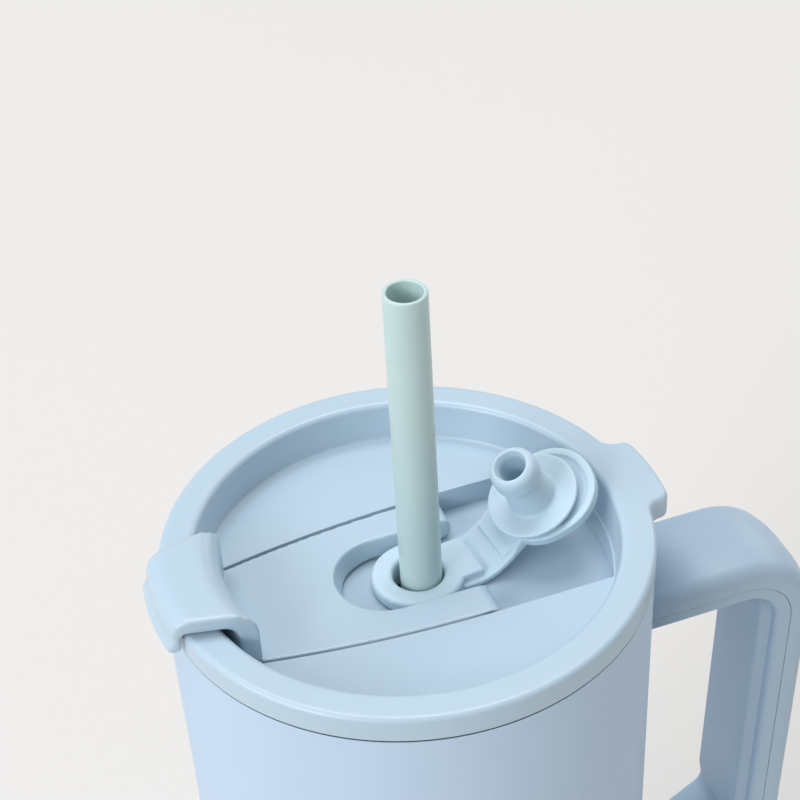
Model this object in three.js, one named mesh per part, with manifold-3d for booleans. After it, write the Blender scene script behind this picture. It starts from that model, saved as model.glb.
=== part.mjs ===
// Insulated straw tumbler: double-wall steel cup with a side handle, a push-in lid with a flip lever,
// a silicone straw stopper and a straight straw. Millimetres, +Z up, origin at the middle of the base.
// +X points from the cup's axis towards the handle and the lid's lift tab.
import * as THREE from 'three';
import { mergeVertices } from 'three/addons/utils/BufferGeometryUtils.js';
import Module from 'manifold-3d';

const wasm = await Module();
wasm.setup();

// ---- driving dimensions -------------------------------------------------------------------------
const rimTop = 215;                 // top of the lid above the table
const rimRadius = 50;
const bandHeight = 5.7;             // lid rim that shows above the cup
const clearance = 0.3;              // gap between touching pieces
const roundSegments = 48;

const cup = {
  mouthRadius: 49.5,
  shoulderRadius: 48.5,
  shoulderTop: 60,
  baseRadius: 38,
  baseTop: 45,
  footRadius: 36.6,
  footHeight: 0.4,
  sheet: 0.8,
  mouth: rimTop - bandHeight - clearance,
};
const liner = { lipRadius: 48.35, mouthRadius: 46.4, shoulderRadius: 45.3, baseRadius: 34.8, floor: 8 };

const lid = {
  recessRadius: 42,                 // bowl radius at the land
  recessMouth: 43.2,
  land: rimTop - 8.6,
  landThickness: 2,
  skirtRadius: 45,
  skirtInner: 42.6,
  skirtBottom: 197,
  grooveTop: 202.2,
  grooveBottom: 199.2,
  grooveRadius: 43.8,
  trayRadius: 43.6,                 // the tray under the channel ends at this radius
  tabRadius: 54.6,
  tabThickness: 5.1,
};
const channel = {
  halfWidth: 19.1,
  floor: rimTop - 14,
  floorThickness: 2,
  wall: 2.5,
  sideArc: 262,                     // radius of the two sides that close in towards the hook
  arcStart: 13,                     // x where those arcs begin
  endRadius: 41.7,
  reach: 46,                        // the plan runs past the bowl's wall and is trimmed by it
};
const lever = {
  gap: 0.7,
  pivotX: 10.5,
  pivotZ: rimTop - 11.1,
  endRadius: 2.5,
  bottom: rimTop - 13.4,
  heelRadius: 41,                   // outer face of the leg that climbs inside the rim
  notchRadius: 10,
  notchCentreX: -5.2,
  pinRadius: 1.5,
  pinInner: 12,
  pinOuter: 20.7,
  reach: 58,                        // the plan runs past the hook's tip
  tip: 20,                          // and past the prongs' round ends
};
const drinkHole = { x: -32.5, halfLength: 6.5, halfWidth: 3.3 };
const drinkSeal = { halfLength: 8.2, halfWidth: 4.4, top: rimTop - 11.2 };
const straw = { x: 2.6, y: -0.4, radius: 4.34, wall: 0.88, bottom: 11, top: rimTop + 59 };
const stopper = {
  x: 2.1,                           // middle of the straw hole
  holeRadius: 5.3,
  neckRadius: 7.2,
  ringRadius: 9.6,
  flangeRadius: 8.8,
  ringTop: rimTop - 10.7,
  blockEnd: 14.6,
  blockHalfWidth: 6.2,
  strapHalfWidth: 6.6,
  strapThickness: 1.3,
};
const flap = {
  centre: new THREE.Vector3(27.6, 0.6, rimTop + 0.9),       // middle of the plug's flange
  tilt: THREE.MathUtils.degToRad(25.6),
  twist: THREE.MathUtils.degToRad(10.8),
  yaw: THREE.MathUtils.degToRad(-4.9),
  flangeRadius: 9.75,
  plateRadius: 10.3,
  plateReach: 3,
  plateTop: -2.4,
  plateBottom: -4.4,
  blockEnd: -13.2,                  // the thicker root of the plate, next to the strap
  blockHalfWidth: 5.8,
  blockTop: -1.4,
  strapEnd: -13.9,
  plugLength: 12.2,
  bulbRadius: 4.9,
  boreRadius: 2.45,
};
const handle = {
  thickness: 10.2,
  halfWidth: 12.3,
  start: 44,                        // x inside the cup, where both arms are trimmed to its wall
  top: 189.5,                       // crown of the upper arm
  gripX: 90,                        // crown of the grip, half way up it
  gripZ: 150,
  gripLean: 0.04,                   // the grip closes in on the cup towards its lower end
  lowerCorner: 90,
  lowerSlope: THREE.MathUtils.degToRad(32.4),
  upperRadius: 18.2,
  lowerRadius: 13.9,
  crownDepth: 5,                    // the outer face is crowned by this much
  crownWidth: 9.6,                  // over this width at each side
  shellShare: 0.635,                // share of the thickness that the outer shell takes
  coverStart: 0.665,
  padHalfWidth: 8.5,
  padCorner: 4,
  padStart: 1.03,                   // shares of the thickness where the pad starts and ends
  padEnd: 1.25,
  padBottom: 102,
  padTop: 175,
};
const bracket = { halfWidth: 6.5, thickness: 2, length: 15, screwAt: 8.5 };
const screw = { headRadius: 2.8, headHeight: 1.3, shankRadius: 1.5, length: 3.3, socketRadius: 1.2 };
const basePad = { radius: 32.4, thickness: 1.4 };
const baseDisc = { radius: 35, bottom: 2.2, thickness: 0.8, dimpleRadius: 5, dimpleHeight: 1.8 };

// ---- materials ----------------------------------------------------------------------------------
function material(name, color, roughness, metalness = 0) {
  return new THREE.MeshStandardMaterial({ name, color, roughness, metalness });
}

const powderCoat = () => material('powder_coat', 0xc3d8ef, 0.55);
const steel = () => material('stainless_steel', 0xb9bcc0, 0.3, 1);
const lidPlastic = () => material('lid_plastic', 0xc2d8ec, 0.3);
const handlePlastic = () => material('handle_plastic', 0xb3cbe4, 0.42);
const silicone = () => material('silicone', 0xc0d8ee, 0.6);
const strawPlastic = () => material('straw_plastic', 0xb8d0d0, 0.35);

// ---- geometry helpers ---------------------------------------------------------------------------

// Leaves position only, merges shared vertices, drops empty triangles and turns faces outwards.
function clean(geometry) {
  geometry.deleteAttribute('normal');
  geometry.deleteAttribute('uv');
  const merged = mergeVertices(geometry, 1e-4);
  const source = merged.index.array;
  const kept = [];
  for (let i = 0; i < source.length; i += 3) {
    const [a, b, c] = [source[i], source[i + 1], source[i + 2]];
    if (a !== b && b !== c && c !== a) kept.push(a, b, c);
  }
  merged.setIndex(signedVolume(merged, kept) < 0 ? kept.reverse() : kept);
  return merged;
}

function signedVolume(geometry, index) {
  const corners = [0, 1, 2].map(() => new THREE.Vector3());
  let volume = 0;
  for (let i = 0; i < index.length; i += 3) {
    corners.forEach((corner, k) => corner.fromBufferAttribute(geometry.attributes.position, index[i + k]));
    volume += corners[0].dot(corners[1].clone().cross(corners[2]));
  }
  return volume;
}

function solid(geometry) {
  const merged = clean(geometry);
  return new wasm.Manifold(new wasm.Mesh({
    numProp: 3,
    vertProperties: new Float32Array(merged.attributes.position.array),
    triVerts: new Uint32Array(merged.index.array),
  }));
}

function geometryOf(manifold) {
  const mesh = manifold.getMesh();
  const geometry = new THREE.BufferGeometry();
  geometry.setAttribute('position', new THREE.BufferAttribute(new Float32Array(mesh.vertProperties), 3));
  geometry.setIndex(Array.from(mesh.triVerts));
  return geometry;
}

// Points of an outline given by corners [x, y, radius]; a radius rounds its corner with an arc.
function rounded(corners, steps = 4) {
  const points = [];
  corners.forEach(([x, y, radius = 0], i) => {
    const corner = new THREE.Vector2(x, y);
    if (!radius) {
      points.push(corner);
      return;
    }
    const back = new THREE.Vector2(...corners.at(i - 1)).sub(corner).normalize();
    const ahead = new THREE.Vector2(...corners[(i + 1) % corners.length]).sub(corner).normalize();
    const half = Math.acos(THREE.MathUtils.clamp(back.dot(ahead), -1, 1)) / 2;
    const centre = back.clone().add(ahead).normalize().multiplyScalar(radius / Math.sin(half)).add(corner);
    const run = radius / Math.tan(half);
    const first = back.multiplyScalar(run).add(corner).sub(centre);
    const last = ahead.multiplyScalar(run).add(corner).sub(centre);
    const turn = Math.atan2(first.cross(last), first.dot(last));
    for (let k = 0; k <= steps; k++) {
      points.push(first.clone().rotateAround(new THREE.Vector2(), turn * k / steps).add(centre));
    }
  });
  return points;
}

// Turns a profile of (radius, z) points about the Z axis.
function revolve(points, segments = roundSegments) {
  return new THREE.LatheGeometry(points, segments).rotateX(Math.PI / 2);
}

// A closed ring: its profile ends where it starts.
function ring(corners, steps, segments) {
  const points = rounded(corners, steps);
  return revolve([...points, points[0].clone()], segments);
}

// An upright prism between two heights.
function prism(shape, bottom, top, curveSegments = 12) {
  const depth = top - bottom;
  return new THREE.ExtrudeGeometry(shape, { depth, bevelEnabled: false, curveSegments }).translate(0, 0, bottom);
}

// A prism along Y whose outline lies in the XZ plane.
function sidePrism(shape, halfWidth) {
  const depth = 2 * halfWidth;
  return new THREE.ExtrudeGeometry(shape, { depth, bevelEnabled: false, curveSegments: 12 })
    .translate(0, 0, -halfWidth).rotateX(Math.PI / 2);
}

function cylinder(radius, bottom, top, x = 0, segments = 32) {
  return new THREE.CylinderGeometry(radius, radius, top - bottom, segments).rotateX(Math.PI / 2)
    .translate(x, 0, (top + bottom) / 2);
}

// A rod along Y between two distances from the XZ plane.
function crossRod(radius, from, to, x, z) {
  return new THREE.CylinderGeometry(radius, radius, Math.abs(to - from), 20).translate(x, (from + to) / 2, z);
}

function box(x0, x1, halfWidth, z0, z1) {
  return new THREE.BoxGeometry(x1 - x0, 2 * halfWidth, z1 - z0).translate((x0 + x1) / 2, 0, (z0 + z1) / 2);
}

// A slot with round ends, long along Y.
function slot(x, halfLength, halfWidth) {
  const shape = new THREE.Shape();
  const run = halfLength - halfWidth;
  shape.absarc(x, run, halfWidth, 0, Math.PI);
  shape.absarc(x, -run, halfWidth, Math.PI, 2 * Math.PI);
  return shape;
}

// The plan of the channel, grown outwards by a margin and running between two x values.
function channelPlan(margin, left, right) {
  const shape = new THREE.Shape();
  const half = channel.halfWidth + margin;
  const radius = channel.sideArc - margin;
  const sweep = Math.asin((channel.arcStart - left) / radius);
  shape.moveTo(right, -half);
  shape.lineTo(right, half);
  shape.absarc(channel.arcStart, half - radius, radius, Math.PI / 2, Math.PI / 2 + sweep);
  shape.absarc(channel.arcStart, radius - half, radius, 1.5 * Math.PI - sweep, 1.5 * Math.PI);
  return shape;
}

// ---- cup ----------------------------------------------------------------------------------------

// Outer face of the cup from the foot to the mouth, grown outwards by a margin.
function cupFace(margin = 0) {
  return [
    [cup.footRadius + margin, cup.footHeight, 3],
    [cup.baseRadius + margin, cup.baseTop, 14],
    [cup.shoulderRadius + margin, cup.shoulderTop, 10],
    [cup.mouthRadius + margin, cup.mouth],
  ];
}

function outerWall() {
  const outside = cupFace();
  const inside = cupFace(-cup.sheet).reverse();
  inside[3] = [cup.footRadius - cup.sheet, cup.footHeight + cup.sheet, 2.2];
  const foot = basePad.radius + clearance;
  return ring([[foot, cup.footHeight], ...outside, ...inside, [foot, cup.footHeight + cup.sheet]], 3);
}

function innerLiner() {
  const step = cup.sheet;
  const profile = rounded([
    [0, liner.floor],
    [liner.baseRadius - 1.2, liner.floor, 6],
    [liner.baseRadius, 47.5, 14],
    [liner.shoulderRadius, 63, 10],
    [liner.mouthRadius, 203],
    [liner.lipRadius, 206, 1.5],
    [liner.lipRadius, cup.mouth],
    [liner.lipRadius - 1.2, cup.mouth],
    [liner.mouthRadius - step, 204.5],
    [liner.shoulderRadius - step, 63.4, 9.2],
    [liner.baseRadius - step, 48, 14.8],
    [liner.baseRadius - 1.2 - step, liner.floor + step, 5.2],
    [0, liner.floor + step],
  ], 3);
  return revolve(profile);
}

function baseDiscPlate() {
  const { radius, bottom, thickness, dimpleRadius, dimpleHeight } = baseDisc;
  const top = bottom + thickness;
  return revolve(rounded([
    [0, bottom + dimpleHeight],
    [dimpleRadius, bottom + dimpleHeight],
    [dimpleRadius + 1, bottom],
    [radius, bottom],
    [radius, top],
    [dimpleRadius + 1.6, top],
    [dimpleRadius + 0.4, top + dimpleHeight],
    [0, top + dimpleHeight],
  ]), 48);
}

function getterStrip() {
  const top = baseDisc.bottom + baseDisc.thickness;
  return prism(slot(16, 7, 3), top + clearance, top + clearance + 1.2);
}

function basePadDisc() {
  const corners = [[0, 0], [basePad.radius, 0, 0.5], [basePad.radius, basePad.thickness], [0, basePad.thickness]];
  return revolve(rounded(corners, 3), 48);
}

// ---- handle -------------------------------------------------------------------------------------

const gripFace = (z) => handle.gripX + handle.gripLean * (z - handle.gripZ);
const lowerFace = (x) => handle.lowerCorner + (x - gripFace(handle.lowerCorner)) * Math.tan(handle.lowerSlope);

// Corners [x, z, radius] of the handle's side outline at a share of its thickness, 0 at the outer face.
function handleLine(share) {
  const depth = share * handle.thickness;
  const grip = Math.atan(handle.gripLean);
  const top = handle.top - depth;
  const shift = depth / Math.cos(grip);
  const drop = depth / Math.cos(handle.lowerSlope);
  const lean = handle.gripLean;
  const rise = Math.tan(handle.lowerSlope);
  // where the moved grip line meets the moved lower line
  const x0 = gripFace(0) - shift;
  const z0 = lowerFace(0) + drop;
  const cornerZ = (z0 + rise * x0) / (1 - rise * lean);
  return [
    [handle.start, top, 0],
    [gripFace(top) - shift, top, handle.upperRadius - depth],
    [x0 + lean * cornerZ, cornerZ, handle.lowerRadius - depth],
    [handle.start, lowerFace(handle.start) + drop, 0],
  ];
}

// A strip bent along the handle between two depths; the crown lowers its outer face towards the sides.
function handleBand(from, to, halfWidth, crown = 0) {
  const outer = rounded(handleLine(from), 7);
  const inner = rounded(handleLine(to), 7);
  const across = crown ? 14 : 1;
  const strip = new THREE.BoxGeometry(outer.length - 1, 2, 1, outer.length - 1, across, 1);
  const { position } = strip.attributes;
  for (let i = 0; i < position.count; i++) {
    const station = Math.round(position.getX(i) + (outer.length - 1) / 2);
    const turn = position.getY(i) * Math.PI / 2;
    const y = crown ? halfWidth - handle.crownWidth * (1 - Math.abs(Math.sin(turn))) : halfWidth;
    const side = Math.sign(position.getY(i));
    const fall = crown * (1 - Math.cos(turn)) / handle.thickness / (to - from);
    const share = position.getZ(i) > 0 ? fall : 1;
    const point = outer[station].clone().lerp(inner[station], share);
    position.setXYZ(i, point.x, side * y, point.y);
  }
  return solid(strip);
}

// Places a piece built along +X, with +Z from the inner face to the outer face, on an arm.
function onArm(geometry, arm) {
  const along = new THREE.Vector3(Math.cos(arm.angle), 0, Math.sin(arm.angle));
  const out = new THREE.Vector3(-Math.sin(arm.angle), 0, Math.cos(arm.angle)).multiplyScalar(arm.side);
  const across = out.clone().cross(along);
  const place = new THREE.Matrix4().makeBasis(along, across, out).setPosition(arm.x, 0, arm.z);
  return geometry.applyMatrix4(place);
}

const innerLine = handleLine(1);
const arms = {
  top: { x: handle.start, z: innerLine[0][1], angle: 0, side: 1, root: 6.2 },
  bottom: { x: handle.start, z: innerLine[3][1], angle: handle.lowerSlope, side: -1, root: 6.4 },
};
const shellStart = handle.thickness * (1 - handle.shellShare);
const screwX = (arm) => arm.root + bracket.screwAt;
const bodySpace = solid(revolve(rounded([
  [0, cup.footHeight],
  ...cupFace(clearance),
  [0, cup.mouth],
], 3)));

// The flat tongue on the cup that an arm slides over, grown by a margin.
function tongue(arm, margin = 0) {
  const bottom = shellStart + 0.2;
  const blank = box(0, arm.root + bracket.length + margin, bracket.halfWidth + margin,
    bottom - margin, bottom + bracket.thickness + margin);
  return solid(onArm(blank, arm));
}

function armBracket(arm) {
  const hole = cylinder(screw.shankRadius + clearance, 0, handle.thickness, screwX(arm));
  return geometryOf(tongue(arm).subtract(bodySpace).subtract(solid(onArm(hole, arm))));
}

function screwGeometry(arm) {
  const tip = shellStart + screw.length;
  const profile = rounded([
    [0, 0],
    [screw.headRadius, 0, 0.3],
    [screw.headRadius, screw.headHeight],
    [screw.shankRadius, screw.headHeight],
    [screw.shankRadius, tip - 0.4],
    [screw.shankRadius - 0.4, tip],
    [0, tip],
  ], 2);
  const socket = solid(cylinder(screw.socketRadius, -1, screw.headHeight - 0.5, 0, 6));
  const turned = geometryOf(solid(revolve(profile, 24)).subtract(socket));
  return onArm(turned.translate(screwX(arm), 0, 0), arm);
}

function screwHole(arm) {
  const seat = cylinder(screw.headRadius + clearance, -1, screw.headHeight + clearance, screwX(arm));
  const shaft = cylinder(screw.shankRadius + clearance, 0, shellStart + screw.length + clearance, screwX(arm));
  return solid(onArm(seat, arm)).add(solid(onArm(shaft, arm)));
}

function handleShell() {
  let shell = handleBand(0, handle.shellShare, handle.halfWidth, handle.crownDepth).subtract(bodySpace);
  for (const arm of Object.values(arms)) {
    shell = shell.subtract(tongue(arm, clearance)).subtract(screwHole(arm));
  }
  return geometryOf(shell);
}

function handleCover() {
  let cover = handleBand(handle.coverStart, 1, handle.halfWidth - 0.2).subtract(bodySpace);
  for (const arm of Object.values(arms)) {
    cover = cover.subtract(screwHole(arm));
  }
  return geometryOf(cover);
}

function gripPad() {
  const band = handleBand(handle.padStart, handle.padEnd, handle.padHalfWidth);
  const outline = new THREE.Shape();
  const round = handle.padCorner;
  outline.absarc(handle.padTop - round, handle.padHalfWidth - round, round, 0, Math.PI / 2);
  outline.absarc(handle.padBottom + round, handle.padHalfWidth - round, round, Math.PI / 2, Math.PI);
  outline.absarc(handle.padBottom + round, round - handle.padHalfWidth, round, Math.PI, 1.5 * Math.PI);
  outline.absarc(handle.padTop - round, round - handle.padHalfWidth, round, 1.5 * Math.PI, 2 * Math.PI);
  const front = prism(outline, rimRadius, handle.gripX, 5).rotateY(-Math.PI / 2).scale(-1, 1, 1);
  return geometryOf(band.intersect(solid(front)));
}

// ---- lid ----------------------------------------------------------------------------------------

function lidDisc() {
  const underside = lid.land - lid.landThickness;
  return revolve(rounded([
    [0, lid.land],
    [lid.recessRadius, lid.land, 0.8],
    [lid.recessMouth, rimTop, 1.2],
    [rimRadius, rimTop, 1.8],
    [rimRadius, rimTop - bandHeight],
    [lid.skirtRadius, rimTop - bandHeight],
    [lid.skirtRadius, lid.grooveTop],
    [lid.grooveRadius, lid.grooveTop],
    [lid.grooveRadius, lid.grooveBottom],
    [lid.skirtRadius, lid.grooveBottom],
    [lid.skirtRadius, lid.skirtBottom],
    [lid.skirtInner, lid.skirtBottom],
    [lid.skirtInner, underside],
    [0, underside],
  ], 3));
}

// The lift tab: a flat ear on the rim with hollow fillets at its root.
function liftTab() {
  const at = (radius, degrees) => {
    const angle = THREE.MathUtils.degToRad(degrees);
    return [radius * Math.cos(angle), radius * Math.sin(angle)];
  };
  const shape = new THREE.Shape();
  const tip = THREE.MathUtils.degToRad(9);
  shape.moveTo(...at(47, -14.4));
  shape.lineTo(...at(49.7, -14.4));
  shape.quadraticCurveTo(...at(50.6, -11.8), ...at(52.4, -10.9));
  shape.quadraticCurveTo(...at(54, -10.3), ...at(lid.tabRadius, -9));
  shape.absarc(0, 0, lid.tabRadius, -tip, tip);
  shape.quadraticCurveTo(...at(54, 10.3), ...at(52.4, 10.9));
  shape.quadraticCurveTo(...at(50.6, 11.8), ...at(49.7, 14.4));
  shape.lineTo(...at(47, 14.4));
  return solid(prism(shape, rimTop - lid.tabThickness, rimTop, 6));
}

function lidBody() {
  const trayBottom = channel.floor - channel.floorThickness;
  const pocketTop = lid.land + clearance;
  const trayPlan = channelPlan(channel.wall, -channel.reach, channel.reach);
  const tray = solid(prism(trayPlan, trayBottom, lid.land - 1))
    .intersect(solid(cylinder(lid.trayRadius, trayBottom - 1, lid.land, 0, roundSegments)));
  const pocket = solid(prism(channelPlan(0, -channel.reach, channel.reach), channel.floor, pocketTop))
    .intersect(solid(cylinder(channel.endRadius, channel.floor, pocketTop, 0, roundSegments)));
  const strawHole = solid(cylinder(stopper.neckRadius + clearance, trayBottom - 1, lid.land, stopper.x, 40));
  const drink = solid(prism(slot(drinkHole.x, drinkHole.halfLength, drinkHole.halfWidth), trayBottom - 1, lid.land));
  const pinHole = (side) => solid(crossRod(lever.pinRadius + clearance, side * (channel.halfWidth - 1),
    side * (lever.pinOuter + clearance), lever.pivotX, lever.pivotZ));
  return geometryOf(solid(lidDisc()).add(liftTab()).add(tray).subtract(pocket).subtract(strawHole)
    .subtract(drink).subtract(pinHole(1)).subtract(pinHole(-1)));
}

function lidGasket() {
  const inner = lid.grooveRadius + clearance;
  return ring([
    [inner, lid.grooveBottom + clearance],
    [lid.skirtRadius, lid.grooveBottom + clearance],
    [lid.skirtRadius + 0.25, 200.7],
    [lid.skirtRadius, lid.grooveTop - clearance],
    [inner, lid.grooveTop - clearance],
  ]);
}

// ---- lever --------------------------------------------------------------------------------------

// Section of the hook in (radius, height above the rim): up inside the rim, over it and down outside.
const hookSection = [
  [37.7, 4.2, 4.4], [52.2, 4.2, 3.6], [52.3, -1.2, 1.8], [53.7, -2.7, 0.8], [53, -4.1, 0.9],
  [50.8, -3.4, 0.9], [50.8, 0.9, 1.2], [41, 0.9, 2.6], [41, -13.4], [37.7, -13.4],
];

function leverBody() {
  const plan = channelPlan(-lever.gap, -lever.reach, lever.tip);
  const plate = new THREE.Shape();
  plate.moveTo(-lever.heelRadius, lever.bottom);
  plate.absarc(lever.pivotX, lever.pivotZ, lever.endRadius, -1.18, Math.PI / 2);
  plate.lineTo(-lever.heelRadius, lid.land);
  const heel = solid(cylinder(lever.heelRadius, channel.floor, lid.land + 1, 0, roundSegments));
  const notch = new THREE.Shape();
  notch.moveTo(lever.tip, -lever.notchRadius);
  notch.lineTo(lever.tip, lever.notchRadius);
  notch.absarc(lever.notchCentreX, 0, lever.notchRadius, Math.PI / 2, 1.5 * Math.PI);
  const hook = solid(ring(hookSection.map(([radius, z, fillet]) => [radius, rimTop + z, fillet]), 4));
  const sealPocket = slot(drinkHole.x, drinkSeal.halfLength + clearance, drinkSeal.halfWidth + clearance);
  const bore = (side) => solid(crossRod(lever.pinRadius + clearance, side * (lever.pinInner - clearance),
    side * channel.halfWidth, lever.pivotX, lever.pivotZ));
  const flat = solid(sidePrism(plate, channel.halfWidth)).intersect(heel)
    .subtract(solid(prism(notch, channel.floor - 1, rimTop, 20)));
  return geometryOf(flat.add(hook).intersect(solid(prism(plan, channel.floor - 2, rimTop + 10)))
    .subtract(bore(1)).subtract(bore(-1))
    .subtract(solid(prism(sealPocket, channel.floor - 1, drinkSeal.top + clearance))));
}

function leverPin(side) {
  return crossRod(lever.pinRadius, side * lever.pinInner, side * lever.pinOuter, lever.pivotX, lever.pivotZ);
}

function drinkSealPad() {
  const plan = slot(drinkHole.x, drinkSeal.halfLength, drinkSeal.halfWidth);
  return prism(plan, channel.floor + clearance, drinkSeal.top);
}

// ---- straw and stopper --------------------------------------------------------------------------

function strawTube() {
  const inner = straw.radius - straw.wall;
  return ring([
    [inner, straw.bottom, 0.2],
    [straw.radius, straw.bottom, 0.3],
    [straw.radius, straw.top, 0.4],
    [inner, straw.top, 0.3],
  ], 1, 28).translate(straw.x, straw.y, 0);
}

function stopperRing() {
  const bottom = channel.floor + clearance;
  const under = channel.floor - channel.floorThickness - clearance;
  const collar = solid(ring([
    [stopper.holeRadius, stopper.ringTop, 0.8],
    [stopper.ringRadius, stopper.ringTop, 1],
    [stopper.ringRadius, bottom],
    [stopper.neckRadius, bottom],
    [stopper.neckRadius, under],
    [stopper.flangeRadius, under],
    [stopper.flangeRadius - 1, under - 1.2],
    [stopper.holeRadius, under - 1.2],
  ], 2, 32).translate(stopper.x, 0, 0));
  const block = solid(box(stopper.x, stopper.blockEnd, stopper.blockHalfWidth, bottom, stopper.ringTop));
  return geometryOf(collar.add(block.subtract(solid(cylinder(7, bottom - 1, rimTop, stopper.x, 40)))));
}

// The folded-back plug's own axes: along the flap, across it and up its plug.
function flapPlace() {
  const { tilt, twist, yaw, centre } = flap;
  const along = new THREE.Vector3(Math.cos(tilt) * Math.cos(yaw), Math.cos(tilt) * Math.sin(yaw), Math.sin(tilt));
  const level = new THREE.Vector3(-Math.sin(yaw), Math.cos(yaw), 0);
  const across = level.clone().applyAxisAngle(along, twist);
  const up = along.clone().cross(across);
  return new THREE.Matrix4().makeBasis(along, across, up).setPosition(centre);
}

function stopperFlap() {
  const { plateRadius, plateReach, plateTop, plateBottom, flangeRadius, plugLength, bulbRadius, boreRadius } = flap;
  const { blockEnd, blockHalfWidth, blockTop } = flap;
  const plan = new THREE.Shape();
  plan.moveTo(0, -plateRadius);
  plan.absarc(plateReach, 0, plateRadius, -Math.PI / 2, Math.PI / 2);
  plan.absarc(0, 0, plateRadius, Math.PI / 2, 1.5 * Math.PI);
  const plate = solid(prism(plan, plateBottom, plateTop, 16));
  const block = solid(box(blockEnd, -6, blockHalfWidth, plateBottom, blockTop));
  const sheet = solid(box(blockEnd - 0.4, -6, stopper.strapHalfWidth, plateBottom,
    plateBottom + stopper.strapThickness));
  const plug = solid(revolve(rounded([
    [0, plateBottom + 0.8],
    [8.6, plateBottom + 0.8],
    [8.8, plateTop + 0.4],
    [flangeRadius, -0.7, 0.3],
    [flangeRadius, 0, 0.3],
    [5.2, -0.3, 1.6],
    [4.1, 5, 3],
    [4.1, 7.2, 1],
    [bulbRadius + 0.2, 8.6, 1.4],
    [bulbRadius - 0.2, plugLength, 2.2],
    [boreRadius, plugLength, 0.7],
    [boreRadius - 0.2, 3],
    [0, 3],
  ], 3), 28));
  return geometryOf(plate.add(block).add(sheet).add(plug)).applyMatrix4(flapPlace());
}

// The living hinge: a thin strip led from the ring's block up to the flap, turning as it goes.
function stopperStrap() {
  const place = flapPlace();
  const start = new THREE.Vector3(stopper.blockEnd + clearance, 0, channel.floor + 1);
  const end = new THREE.Vector3(flap.strapEnd, 0, flap.plateBottom + stopper.strapThickness / 2).applyMatrix4(place);
  const lead = new THREE.Vector3(2.2, 0, 0);
  const along = new THREE.Vector3().setFromMatrixColumn(place, 0);
  const path = new THREE.CubicBezierCurve3(start, start.clone().add(lead),
    end.clone().addScaledVector(along, -2), end);
  const turnEnd = new THREE.Quaternion().setFromRotationMatrix(place);
  const strip = new THREE.BoxGeometry(1, 2 * stopper.strapHalfWidth, stopper.strapThickness, 6, 4, 1);
  const point = new THREE.Vector3();
  for (let i = 0; i < strip.attributes.position.count; i++) {
    point.fromBufferAttribute(strip.attributes.position, i);
    const share = point.x + 0.5;
    const turn = new THREE.Quaternion().slerp(turnEnd, share);
    point.setX(0).applyQuaternion(turn).add(path.getPoint(share));
    strip.attributes.position.setXYZ(i, point.x, point.y, point.z);
  }
  return strip;
}

// ---- assembly -----------------------------------------------------------------------------------
const tumbler = new THREE.Group();

function add(name, geometry, finish) {
  const mesh = new THREE.Mesh(clean(geometry), finish());
  mesh.name = name;
  tumbler.add(mesh);
}

add('outer_wall', outerWall(), powderCoat);
add('inner_liner', innerLiner(), steel);
add('base_disc', baseDiscPlate(), steel);
add('vacuum_seal', cylinder(baseDisc.dimpleRadius - 0.8, baseDisc.bottom, baseDisc.bottom + 1.5), steel);
add('getter_strip', getterStrip(), steel);
add('base_pad', basePadDisc(), silicone);

add('handle_shell', handleShell(), handlePlastic);
add('handle_cover', handleCover(), handlePlastic);
add('grip_pad', gripPad(), handlePlastic);
for (const [place, arm] of Object.entries(arms)) {
  add(`bracket_${place}`, armBracket(arm), steel);
  add(`handle_screw_${place}`, screwGeometry(arm), steel);
}

add('lid_body', lidBody(), lidPlastic);
add('lid_gasket', lidGasket(), silicone);
add('lever', leverBody(), lidPlastic);
add('lever_pin_front', leverPin(-1), steel);
add('lever_pin_back', leverPin(1), steel);
add('drink_seal', drinkSealPad(), silicone);
add('stopper_ring', stopperRing(), silicone);
add('stopper_strap', stopperStrap(), silicone);
add('stopper_flap', stopperFlap(), silicone);
add('straw', strawTube(), strawPlastic);

export default tumbler;
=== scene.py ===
import math

import bmesh
import bpy
from mathutils import Matrix, Vector


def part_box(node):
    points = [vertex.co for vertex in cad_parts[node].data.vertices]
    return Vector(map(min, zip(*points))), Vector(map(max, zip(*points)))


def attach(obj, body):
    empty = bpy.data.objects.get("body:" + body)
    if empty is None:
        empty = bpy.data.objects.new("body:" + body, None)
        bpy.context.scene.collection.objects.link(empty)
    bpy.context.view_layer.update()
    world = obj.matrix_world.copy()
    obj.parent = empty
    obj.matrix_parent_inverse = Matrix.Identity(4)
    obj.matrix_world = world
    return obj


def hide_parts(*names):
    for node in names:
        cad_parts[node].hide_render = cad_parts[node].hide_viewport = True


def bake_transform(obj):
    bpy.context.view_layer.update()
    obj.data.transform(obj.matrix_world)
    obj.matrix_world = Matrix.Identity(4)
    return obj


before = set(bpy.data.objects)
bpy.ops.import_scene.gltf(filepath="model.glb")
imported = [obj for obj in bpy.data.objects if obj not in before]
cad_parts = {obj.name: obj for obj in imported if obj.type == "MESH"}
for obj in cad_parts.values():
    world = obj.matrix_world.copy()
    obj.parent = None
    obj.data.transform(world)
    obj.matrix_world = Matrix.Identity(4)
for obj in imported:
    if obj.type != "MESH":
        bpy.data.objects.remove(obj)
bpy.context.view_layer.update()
mm = 0.001
fullTurn = 2 * math.pi
print("frame loaded:", len(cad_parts), "nodes")


# modelling helpers: everything is drawn in millimetres and brought to metres when the object is made

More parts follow.
